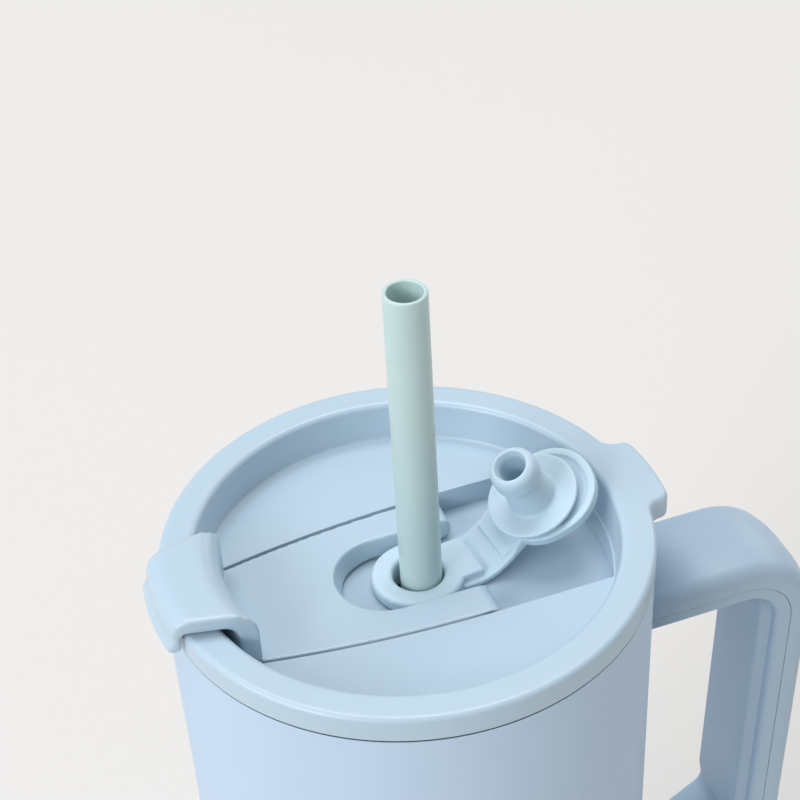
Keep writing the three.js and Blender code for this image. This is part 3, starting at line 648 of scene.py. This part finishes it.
lever = {"gap": 0.7, "endRound": 2.5, "bottom": rimTop - 13.4, "heel": 41.0, "under": 2.2, "over": 2.4,
         "notch": 10.0, "notchX": -5.2, "notchSlope": 1.5, "nose": 0.6, "voxel": 0.3, "relax": 5,
         "hookRelax": 10, "hookStart": -36.2, "hookFrom": 150, "hookSweep": 60, "hookSteps": 72,
         "blankHalf": 25, "notchDepth": 7}
hookLine = [
    (37.7, 4.2, 4.4), (52.2, 4.2, 3.6), (52.3, -1.2, 1.8), (53.7, -2.7, 0.8),
    (53.0, -4.1, 0.9), (50.8, -3.4, 0.9), (50.8, 0.9, 1.2), (41, 0.9, 2.6), (41, -13.4, 0.3),
    (37.7, -13.4, 0.3)]


def makeLever():
    plate = bmesh.new()
    nose = pivot[0] + lever["endRound"] + lever["nose"]
    # the fork's lower corner is drawn back, so that it clears the channel's floor as the lever turns
    drawLine(plate, [(-46, lever["bottom"]), (nose - 0.35, lever["bottom"], lever["under"]),
                     (nose, land, lever["over"]), (-46, land)], closed=True, segments=8)
    fillFlat(plate)
    bmesh.ops.translate(plate, vec=(0, -lever["blankHalf"], 0), verts=plate.verts)
    grown = bmesh.ops.extrude_face_region(plate, geom=plate.faces[:], use_keep_orig=True)["geom"]
    farSide = [item for item in grown if isinstance(item, bmesh.types.BMVert)]
    bmesh.ops.translate(plate, vec=(0, 2 * lever["blankHalf"], 0), verts=farSide)
    body = makePiece(plate, "leverBody")
    carve(body, makePiece(discBlank(lever["heel"], lever["bottom"] - 1, land + 1), "disc"), "INTERSECT")
    # the notch round the stopper is drafted, so it is wider at the top
    notch = bmesh.new()
    low, high = lever["notch"] - 0.1, lever["notch"] + 0.7
    bmesh.ops.create_cone(notch, cap_ends=True, segments=96, radius1=low, radius2=high,
                          depth=lever["notchDepth"])
    for vert in notch.verts:
        slope = lever["notchSlope"] if vert.co.z < 0 else 0
        vert.co.x += lever["notchX"] + (30 if vert.co.x > 1e-4 else slope)
    bmesh.ops.translate(notch, vec=(0, 0, lever["bottom"] + 2.4), verts=notch.verts)
    carve(body, makePiece(notch, "notch"))
    hook = bmesh.new()
    drawLine(hook, [(radius, rimTop + z, fillet) for radius, z, fillet in hookLine], closed=True, segments=6)
    bmesh.ops.rotate(hook, cent=(0, 0, 0), verts=hook.verts,
                     matrix=Matrix.Rotation(math.radians(lever["hookFrom"]), 3, "Z"))
    bmesh.ops.spin(hook, geom=hook.verts[:] + hook.edges[:], cent=(0, 0, 0), axis=(0, 0, 1),
                   angle=math.radians(lever["hookSweep"]), steps=lever["hookSteps"])
    bmesh.ops.holes_fill(hook, edges=hook.edges[:], sides=0)
    carve(body, makePiece(hook, "hook"), "UNION")
    plan = channelBlank(-lever["gap"], -60, 20, lever["bottom"] - 2, rimTop + 10)
    carve(body, makePiece(plan, "plan"), "INTERSECT")
    seat = slotBlank(sipHole["x"], *sipHole["seat"], lever["bottom"] - 1, sipHole["sealTop"] + 0.3)
    carve(body, makePiece(seat, "sealSeat"))
    for side in (-1, 1):
        bore = rodBlank(pinBore["radius"], side * pinBore["inner"], side * channel["half"], *pivot)
        carve(body, makePiece(bore, "bore"))
    recast(body, lever["voxel"], lever["relax"])
    # the hook's edges are rounder than the plate's
    mesh = bmesh.new()
    mesh.from_mesh(body.data)
    hookVerts = [vert for vert in mesh.verts
                 if vert.co.x < lever["hookStart"] * mm and vert.co.z > (land - 1.0) * mm]
    for _ in range(lever["hookRelax"]):
        relaxOnce(mesh, hookVerts)
    mesh.to_mesh(body.data)
    mesh.free()
    smoothBy(body, 80)
    finishPiece(body, lidPlastic, "lever", "lid_plastic", "lever")
    seal = slotBlank(sipHole["x"], *sipHole["seal"], sipHole["sealBottom"], sipHole["sealTop"])
    roundEdges(seal, levelEdges(seal, sipHole["sealBottom"]), 0.6, 3)
    finishPiece(makePiece(seal, "sipSeal", 30), silicone, "lever", "silicone", "drink_seal")


makeLever()
print("lever ready")


# stopper: collar, strap and folded-back plug, cast as one piece of silicone

stopper = {"x": 2.1, "turn": 5.0, "top": rimTop - 10.7, "strapHalf": 6.9, "strapThick": 1.2, "strapZ": 1.5,
           "blockHalf": 5.65, "blockEnd": 14.5, "voxel": 0.24, "relax": 2}
flap = {"centre": (27.6, 0.6, rimTop + 0.9), "tilt": 25.6, "twist": 10.8, "yaw": -4.9,
        "join": (-6.2, 0, -3.7)}


def flapPlace():
    # axes of the folded-back plug: along the flap, across it, and up its stem
    tilt, twist, yaw = (math.radians(flap[key]) for key in ("tilt", "twist", "yaw"))
    along = Vector((math.cos(tilt) * math.cos(yaw), math.cos(tilt) * math.sin(yaw), math.sin(tilt)))
    across = Matrix.Rotation(twist, 3, along) @ Vector((-math.sin(yaw), math.cos(yaw), 0))
    up = along.cross(across)
    turn = Matrix((along, across, up)).transposed().to_4x4()
    return Matrix.Translation(flap["centre"]) @ turn


def joinInto(mesh, part, place=None):
    bmesh.ops.recalc_face_normals(part, faces=part.faces)
    if place:
        bmesh.ops.transform(part, matrix=place, verts=part.verts)
    data = bpy.data.meshes.new("part")
    part.to_mesh(data)
    part.free()
    mesh.from_mesh(data)
    bpy.data.meshes.remove(data)


def blockBlank(x0, x1, y0, y1, z0, z1, soft=0.4):
    mesh = bmesh.new()
    bmesh.ops.create_cube(mesh, size=1)
    bmesh.ops.scale(mesh, vec=(x1 - x0, y1 - y0, z1 - z0), verts=mesh.verts)
    bmesh.ops.translate(mesh, vec=((x0 + x1) / 2, (y0 + y1) / 2, (z0 + z1) / 2), verts=mesh.verts)
    roundEdges(mesh, mesh.edges[:], soft, 3)
    return mesh


def strapFrame(ringPlace, plugPlace, t):
    # a point on the hinge's middle line and the directions there: t below 0 is under the collar's block
    level = ringPlace.to_3x3()
    start = ringPlace @ Vector((13.0 - stopper["x"], 0, channel["floor"] + stopper["strapZ"]))
    if t < 0:
        return start + level @ Vector((6.0 * t, 0, 0)), level
    end = plugPlace @ Vector(flap["join"])
    lead = level @ Vector((5.2, 0, 0))
    tail = plugPlace.to_3x3() @ Vector((-1.4, 0, 0))
    a, b, c, d = start, start + lead, end + tail, end
    s = 1 - t
    spot = a * s ** 3 + b * 3 * s * s * t + c * 3 * s * t * t + d * t ** 3
    slope = ((b - a) * s * s + (c - b) * 2 * s * t + (d - c) * t * t).normalized()
    across = (level.col[1].lerp(plugPlace.to_3x3().col[1], t * t)).normalized()
    up = slope.cross(across).normalized()
    return spot, Matrix((slope, up.cross(slope), up)).transposed()


def bentSheet(ringPlace, plugPlace, first, last, half, thick, lift):
    # a strip of the hinge between two stations, lifted off its middle line
    mesh = bmesh.new()
    bmesh.ops.create_grid(mesh, x_segments=30, y_segments=12, size=0.5)
    for vert in mesh.verts:
        spot, turn = strapFrame(ringPlace, plugPlace, first + (last - first) * (vert.co.x + 0.5))
        vert.co = spot + turn @ Vector((0, vert.co.y * 2 * half, lift + thick / 2))
    bmesh.ops.recalc_face_normals(mesh, faces=mesh.faces)
    if mesh.faces[:][0].normal.z < 0:
        bmesh.ops.reverse_faces(mesh, faces=mesh.faces)
    bmesh.ops.solidify(mesh, geom=mesh.faces[:], thickness=thick)
    bmesh.ops.recalc_face_normals(mesh, faces=mesh.faces)
    return mesh


def makeStopper():
    plugPlace = flapPlace()
    swing = Matrix.Rotation(math.radians(stopper["turn"]), 4, "Z")
    ringPlace = Matrix.Translation((stopper["x"], 0, 0)) @ swing
    half, thick = stopper["blockHalf"], stopper["strapThick"]
    top, floor = stopper["top"], channel["floor"]
    whole = turned([
        (5.3, top, 1.0), (9.7, top, 1.0), (9.7, floor + 0.3, 0.2), (7.2, floor + 0.3, 0.2),
        (7.2, floor - 2.3, 0.2), (8.8, floor - 2.3, 0.2), (7.8, floor - 3.5, 0.4), (5.3, floor - 3.5, 0.4)],
        steps=96, segments=4, centreX=stopper["x"])
    block = blockBlank(6.2, stopper["blockEnd"] - stopper["x"], -half, half, floor + 0.4, top)
    joinInto(whole, block, ringPlace)
    joinInto(whole, bentSheet(ringPlace, plugPlace, -0.7, 1.0, stopper["strapHalf"], thick, -thick / 2))
    joinInto(whole, bentSheet(ringPlace, plugPlace, 0.42, 1.0, half, 1.6, -0.2))
    # plate of the flap, with a low rim round its edge
    plate = bmesh.new()
    drawLine(plate, [(-9.0, -10.2, 9.4), (12.6, -10.4, 9.9), (12.6, 10.4, 9.9), (-9.0, 10.2, 9.4)],
             closed=True, segments=16)
    bmesh.ops.rotate(plate, cent=(0, 0, 0), matrix=Matrix.Rotation(-math.pi / 2, 3, "X"), verts=plate.verts)
    raiseFlat(plate, fillFlat(plate), 2.3)
    bmesh.ops.translate(plate, vec=(0.5, 0, -4.4), verts=plate.verts)
    upper = [face for face in plate.faces if face.normal.z > 0.9]
    for inset, depth in ((1.5, 0), (0.4, -0.5)):
        bmesh.ops.inset_region(plate, faces=upper, thickness=inset, depth=depth, use_even_offset=True,
                               use_boundary=True)
    joinInto(whole, plate, plugPlace)
    plug = turned([
        (0, -3.6), (8.4, -3.6), (8.5, -1.9, 0.4), (9.75, -0.9, 0.3), (9.75, -0.1, 0.3), (5.05, -0.45, 0.6),
        (4.25, 7.3, 0.3), (5.05, 7.5, 0.5), (4.95, 12.0, 2.1), (3.5, 12.3, 0.7), (2.85, 10.9, 0.8),
        (2.6, 3), (0, 3)],
        closed=False, steps=72, segments=5)
    joinInto(whole, plug, plugPlace)
    piece = makePiece(whole, "siliconeStopper")
    recast(piece, stopper["voxel"], stopper["relax"])
    finishPiece(piece, silicone, None, "silicone", "stopper_ring", "stopper_strap", "stopper_flap")
    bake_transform(piece)


makeStopper()
print("stopper ready")


# straw: a plain extruded tube with melted ends

straw = {"x": 2.6, "y": -0.4, "radius": 4.34, "bore": 3.46, "bottom": 11.0, "top": rimTop + 59}


def makeStraw():
    mesh = turned([
        (straw["bore"], straw["bottom"], 0.3), (straw["radius"], straw["bottom"], 0.4),
        (straw["radius"], straw["top"], 0.4), (straw["bore"], straw["top"], 0.35)], steps=96, segments=4)
    bmesh.ops.translate(mesh, vec=(straw["x"], straw["y"], 0), verts=mesh.verts)
    finishPiece(makePiece(mesh, "strawTube", 45), strawPlastic, "straw", "straw_plastic", "straw")


makeStraw()

# small steel parts keep their CAD shape
carried = {
    "base_disc": spunSteel, "vacuum_seal": solderGlass, "getter_strip": getterMetal,
    "bracket_top": pressedSteel,
    "bracket_bottom": pressedSteel, "handle_screw_top": pressedSteel, "handle_screw_bottom": pressedSteel,
    "lever_pin_front": pressedSteel, "lever_pin_back": pressedSteel}
for node, material in carried.items():
    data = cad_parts[node].data
    data.materials.clear()
    data.materials.append(material)
print("carried parts have their finishes")


# room: pale floor, soft lights and the camera

room = {"floor": "#d5d3cf", "floorShade": "#d8d6d2", "half": 6000, "world": "#f4f5f6", "worldPower": 0.52,
        "exposure": 0.0, "lamps": "#fbfbff"}
softboxes = {       # where each stands, what it faces, its sides in metres and its watts
    "keySoftbox": ((-3.35, -0.85, 2.1), (0, 0, 0.15), (2.6, 2.0), 74),
    "windowSoftbox": ((-2.6, -1.85, 1.6), (0, 0, 0.2), (0.9, 0.7), 24),
    "topSoftbox": ((0.1, 0.9, 3.2), (0, 0, 0.18), (2.4, 1.6), 60),
    "backSoftbox": ((2.6, 1.6, 1.5), (0, 0, 0.15), (1.2, 1.2), 14)}
view = {"lens": 85.5, "sensor": 36, "near": 0.01, "far": 50, "heading": -18, "down": 37.76, "roll": -3.61,
        "spot": (-0.0877, -0.2715, 0.4704)}


def makeRoom():
    mesh = bmesh.new()
    bmesh.ops.create_grid(mesh, x_segments=8, y_segments=8, size=room["half"])
    floor = makePiece(mesh, "studioFloor")
    paper = newFinish("studioPaper", {
        "light": room["floor"], "dark": room["floorShade"], "cloud": 400, "grain": 1.5, "rough": (0.8, 0.9),
        "bump": 0.05, "height": 0.05, "ior": 1.45})
    floor.data.materials.append(paper)
    world = bpy.data.worlds.new("softWorld")
    world.use_nodes = True
    back = world.node_tree.nodes["Background"]
    back.inputs["Color"].default_value = colour(room["world"])
    back.inputs["Strength"].default_value = room["worldPower"]
    bpy.context.scene.world = world
    scene = bpy.context.scene
    scene.view_settings.view_transform = "Standard"
    scene.view_settings.exposure = room["exposure"]


def addSoftbox(name, spot, target, size, power):
    light = bpy.data.lights.new(name, "AREA")
    light.shape = "RECTANGLE"
    light.size, light.size_y = size
    light.energy = power
    light.color = colour(room["lamps"])[:3]
    lamp = bpy.data.objects.new(name, light)
    lamp.location = spot
    lamp.rotation_mode = "QUATERNION"
    lamp.rotation_quaternion = (Vector(target) - Vector(spot)).to_track_quat("-Z", "Y")
    bpy.context.scene.collection.objects.link(lamp)


def addCamera():
    camera = bpy.data.cameras.new("camera")
    camera.lens = view["lens"]
    camera.sensor_width = view["sensor"]
    camera.clip_start, camera.clip_end = view["near"], view["far"]
    holder = bpy.data.objects.new("camera", camera)
    heading, down, roll = (math.radians(view[key]) for key in ("heading", "down", "roll"))
    turn = Matrix.Rotation(heading, 3, "Z") @ Matrix.Rotation(math.pi / 2 - down, 3, "X")
    turn = turn @ Matrix.Rotation(roll, 3, "Z")
    holder.rotation_mode = "QUATERNION"
    holder.rotation_quaternion = turn.to_quaternion()
    holder.location = view["spot"]
    bpy.context.scene.collection.objects.link(holder)
    bpy.context.scene.camera = holder


makeRoom()
for name, setup in softboxes.items():
    addSoftbox(name, *setup)
addCamera()
print("room ready")
